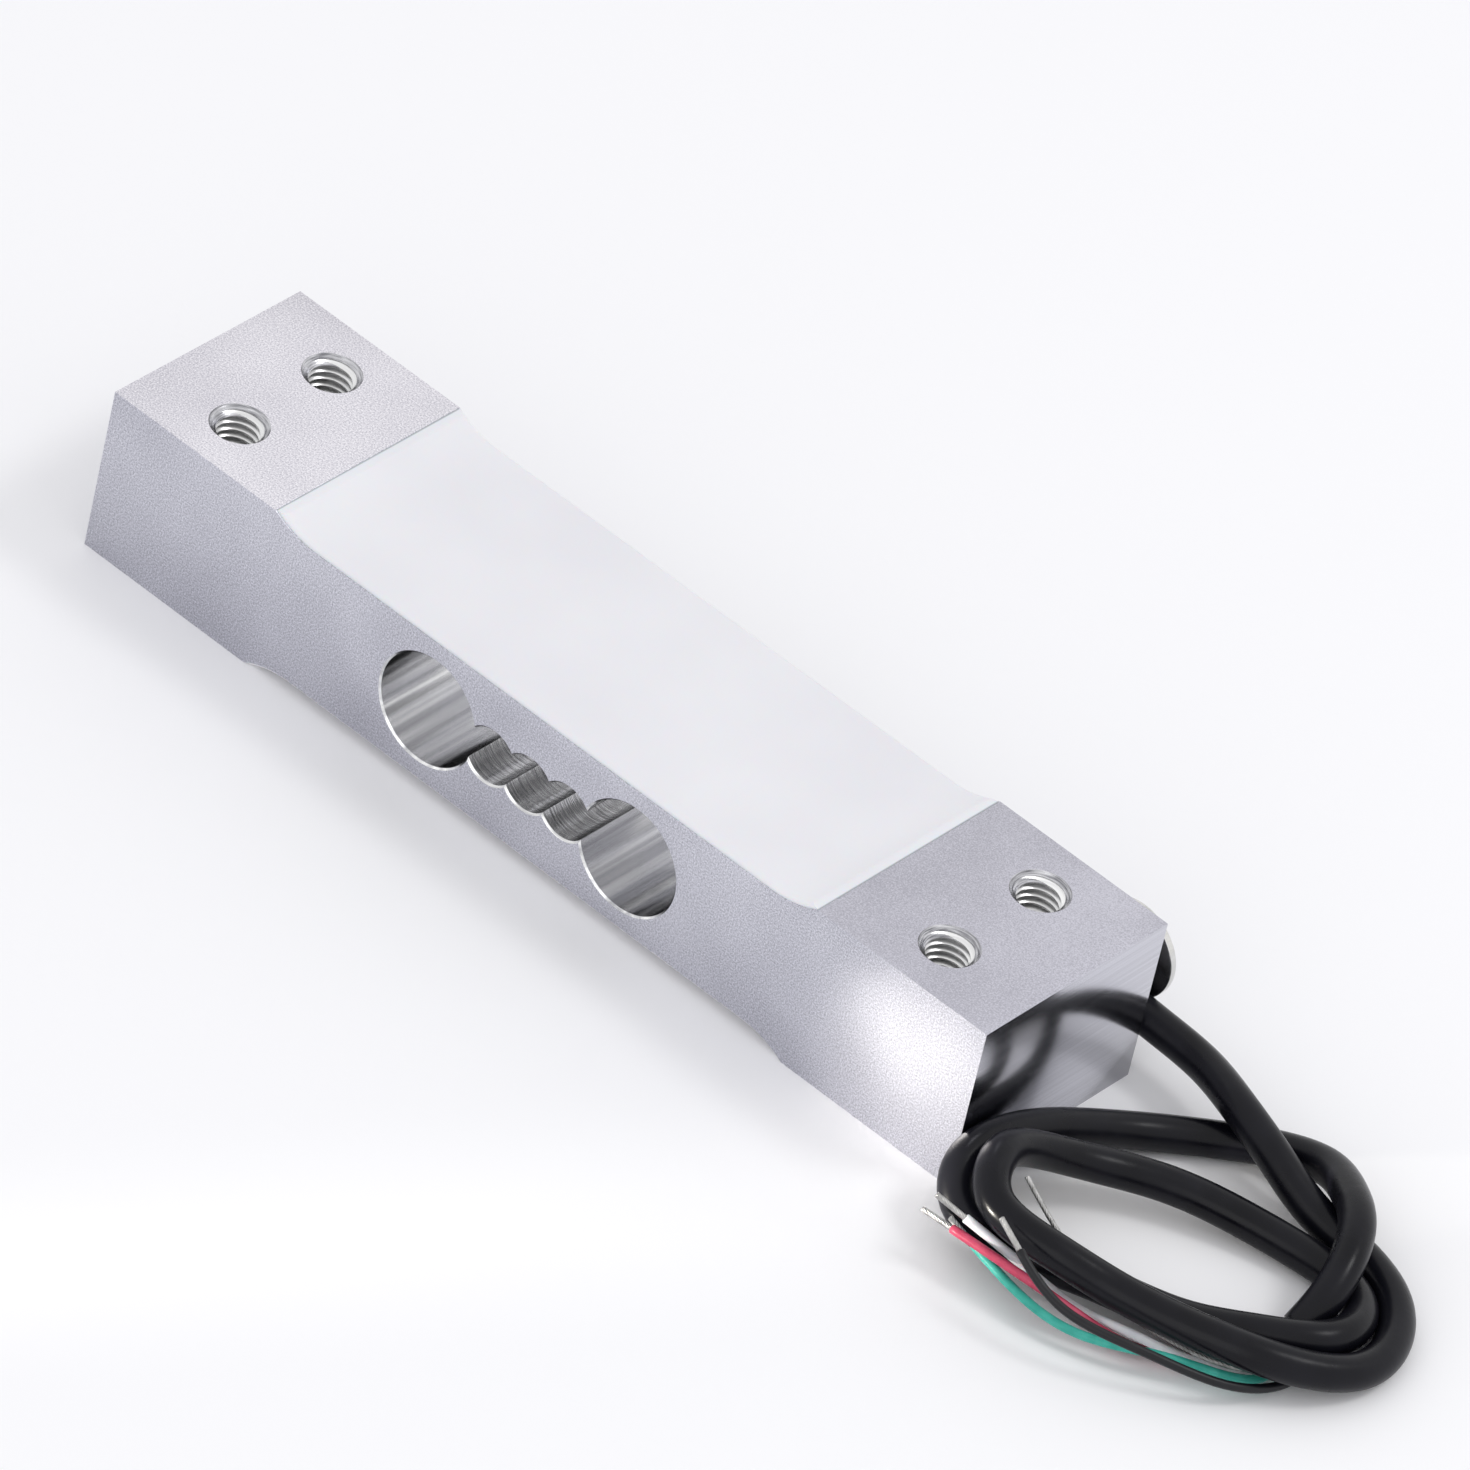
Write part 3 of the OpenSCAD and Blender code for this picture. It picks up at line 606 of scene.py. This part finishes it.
# Gauges, boards and their wires
# Polymer films with etched foil, glued to the recess floors, joined by fine enamelled wires. The
# coats cover them, so the solids of the frame stay and get their finishes.
def plain(name, colour, rough, metallic, scale_mm):
    """A small part's finish, with a faint change of tone across it."""
    material, tree = new_material(name)
    place = add(tree, "ShaderNodeTexCoord")
    cloud = add(tree, "ShaderNodeTexNoise", {"Vector": place.outputs["Object"], "Scale": 1 / (scale_mm * MM),
                                             "Detail": 2})
    dim = [c * 0.85 for c in linear(colour)[:3]] + [1]
    tone = add(tree, "ShaderNodeValToRGB", {"Fac": cloud.outputs["Fac"]})
    tone.color_ramp.elements[0].color = dim
    tone.color_ramp.elements[1].color = linear(colour)
    surface(tree, {"Base Color": tone.outputs["Color"], "Roughness": rough, "Metallic": metallic})
    return material


polyimide = plain("polyimide_film_with_foil", "#c98a3a", 0.35, 0.0, 1.5)
enamelled = plain("enamelled_copper_wire", "#b8683a", 0.3, 1.0, 0.8)
ceramic = plain("ceramic_chip", "#1c1c1f", 0.55, 0.0, 0.3)
link_pvc = plain("link_wire_pvc", "#b03034", 0.45, 0.0, 1.0)
seal_silicone = plain("silicone_white_seal", "#ebeaee", 0.42, 0.0, 3)
inside = {
    polyimide: ["gauge_top_near_load", "gauge_top_near_cable", "gauge_bottom_near_load",
                "gauge_bottom_near_cable", "top_terminal_board", "bottom_terminal_board"],
    enamelled: ["top_jumpers", "bottom_jumpers"],
    ceramic: ["trim_resistor"],
    link_pvc: ["link_wires"],
    seal_silicone: ["cavity_seal"],
}
for finish, nodes in inside.items():
    for node in nodes:
        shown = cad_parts[node]
        shown.data.materials.clear()
        shown.data.materials.append(finish)


# Clamp washer
# A large round washer, pressed from steel sheet 0.9 mm thick and nickel plated. The screw holds it
# down on the cable where the cable leaves its hole in the far side.
plated = machined("nickel_plated_washer", "#c2c2c0", "#e2e1df", 0.17, (0.4, 40, 40), 0.1)
CLAMP_X, CLAMP_Z = 58.3 * MM, 11.2 * MM
WASHER_Y, HEAD_Y = 19.4 * MM, 20.3 * MM
WASHER_R = 6 * MM

bpy.ops.mesh.primitive_cylinder_add(vertices=96, radius=WASHER_R, depth=HEAD_Y - WASHER_Y,
                                    rotation=(math.pi / 2, 0, 0),
                                    location=(CLAMP_X, (WASHER_Y + HEAD_Y) / 2, CLAMP_Z))
washer = bpy.context.object
washer.name = "washer"
settle(washer)
bpy.ops.mesh.primitive_cylinder_add(vertices=64, radius=1.6 * MM, depth=4 * MM, rotation=(math.pi / 2, 0, 0),
                                    location=(CLAMP_X, (WASHER_Y + HEAD_Y) / 2, CLAMP_Z))
punch = bpy.context.object
settle(punch)
finish_with(washer, "BOOLEAN", operation="DIFFERENCE", solver="EXACT", object=punch)
bpy.data.meshes.remove(punch.data)
finish_with(washer, "BEVEL", width=0.12 * MM, segments=3, limit_method="ANGLE", angle_limit=math.radians(40))
washer.data.materials.append(plated)
select_only(washer)
bpy.ops.object.shade_smooth_by_angle(angle=math.radians(40))
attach(washer, "root")
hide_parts("clamp_washer")


# Clamp screw
# A pan head machine screw of steel, cold headed with a cross recess and plated like the washer. Its
# shank goes into the far side beside the wiring hole.
HEAD_R, HEAD_H = 2.8 * MM, 2.2 * MM
bpy.ops.mesh.primitive_cylinder_add(vertices=64, radius=HEAD_R, depth=HEAD_H, rotation=(math.pi / 2, 0, 0),
                                    location=(CLAMP_X, HEAD_Y + HEAD_H / 2, CLAMP_Z))
screw = bpy.context.object
screw.name = "screw"
settle(screw)
edit_faces(screw, lambda polygon: polygon.normal.y > 0.9)
bpy.ops.mesh.select_mode(type="EDGE")
bpy.ops.mesh.bevel(offset=0.9 * MM, segments=6, affect="EDGES")
bpy.ops.object.mode_set(mode="OBJECT")
for width, height in ((3, 0.7), (0.7, 3)):
    bpy.ops.mesh.primitive_cube_add(size=1, location=(CLAMP_X, HEAD_Y + 1.8 * MM, CLAMP_Z),
                                    scale=(width * MM, 1.6 * MM, height * MM))
    blade = bpy.context.object
    settle(blade)
    finish_with(screw, "BOOLEAN", operation="DIFFERENCE", solver="EXACT", object=blade)
    bpy.data.meshes.remove(blade.data)
SHANK_R, SHANK_FROM, SHANK_TO = 1.5 * MM, 9 * MM, 21 * MM
bpy.ops.mesh.primitive_cylinder_add(vertices=48, radius=SHANK_R, depth=SHANK_TO - SHANK_FROM,
                                    rotation=(math.pi / 2, 0, 0),
                                    location=(CLAMP_X, (SHANK_FROM + SHANK_TO) / 2, CLAMP_Z))
shank = bpy.context.object
settle(shank)
finish_with(screw, "BOOLEAN", operation="UNION", solver="EXACT", object=shank)
bpy.data.meshes.remove(shank.data)
screw.data.materials.append(plated)
select_only(screw)
bpy.ops.object.shade_smooth_by_angle(angle=math.radians(35))
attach(screw, "root")
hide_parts("clamp_screw")


# Table and light
# A plain white table under a wide soft light, so that each finish shows about as it is.
bpy.ops.mesh.primitive_plane_add(size=6, location=(0, 0, 0))
table = bpy.context.object
table.name = "table"
paper, tree = new_material("matte_white_table")
surface(tree, {"Base Color": linear("#fbfbfc"), "Roughness": 0.9, "Specular IOR Level": 0.2})
table.data.materials.append(paper)

world = bpy.data.worlds.new("studio")
scene.world = world
world.use_nodes = True
tree = world.node_tree
tree.nodes.clear()
path = add(tree, "ShaderNodeLightPath")
place = add(tree, "ShaderNodeTexCoord")
split = add(tree, "ShaderNodeSeparateXYZ", {"Vector": place.outputs["Generated"]})
height = add(tree, "ShaderNodeValToRGB", {"Fac": split.outputs["Z"]})
height.color_ramp.elements[0].color = (0.72, 0.72, 0.74, 1)
height.color_ramp.elements[1].color = (0.88, 0.88, 0.9, 1)
soft = add(tree, "ShaderNodeBackground", {"Color": height.outputs["Color"], "Strength": 1.0})
white = add(tree, "ShaderNodeBackground", {"Color": (1, 1, 1, 1), "Strength": 1.0})
mirrored = add(tree, "ShaderNodeMath", {0: path.outputs["Is Camera Ray"], 1: path.outputs["Is Glossy Ray"]},
               operation="MAXIMUM")
seen = add(tree, "ShaderNodeMath", {0: mirrored.outputs["Value"], 1: path.outputs["Is Transmission Ray"]},
           operation="MAXIMUM")
both = add(tree, "ShaderNodeMixShader", {0: seen.outputs["Value"], 1: soft.outputs["Background"],
                                         2: white.outputs["Background"]})
add(tree, "ShaderNodeOutputWorld", {"Surface": both.outputs["Shader"]})


def lamp(name, place_m, target, size, power):
    """A square soft box that faces a point."""
    data = bpy.data.lights.new(name, "AREA")
    data.size = size
    data.energy = power
    box = bpy.data.objects.new(name, data)
    scene.collection.objects.link(box)
    box.location = place_m
    box.rotation_euler = (Vector(target) - Vector(place_m)).to_track_quat("-Z", "Y").to_euler()


lamp("key_box", (0.55, 0.4, 1.0), (0, 0, 0), 0.28, 2.2)
lamp("fill_box", (0.3, -1.0, 0.5), (0.02, 0, 0), 0.8, 1.5)

# A small snooted lamp lies low on the near left, and brightens the near side towards its cable end
snoot = bpy.data.lights.new("side_snoot", "SPOT")
snoot.energy = 36
snoot.color = (1.0, 0.95, 0.84)
snoot.spot_size = math.radians(3.2)
snoot.spot_blend = 0.55
snoot.shadow_soft_size = 0.008
held = bpy.data.objects.new("side_snoot", snoot)
scene.collection.objects.link(held)
held.location = (-0.24, -0.53, 0.012)
held.rotation_euler = (Vector((0.066, -0.015, 0.005)) - held.location).to_track_quat("-Z", "Y").to_euler()
scene.view_settings.view_transform = "Standard"
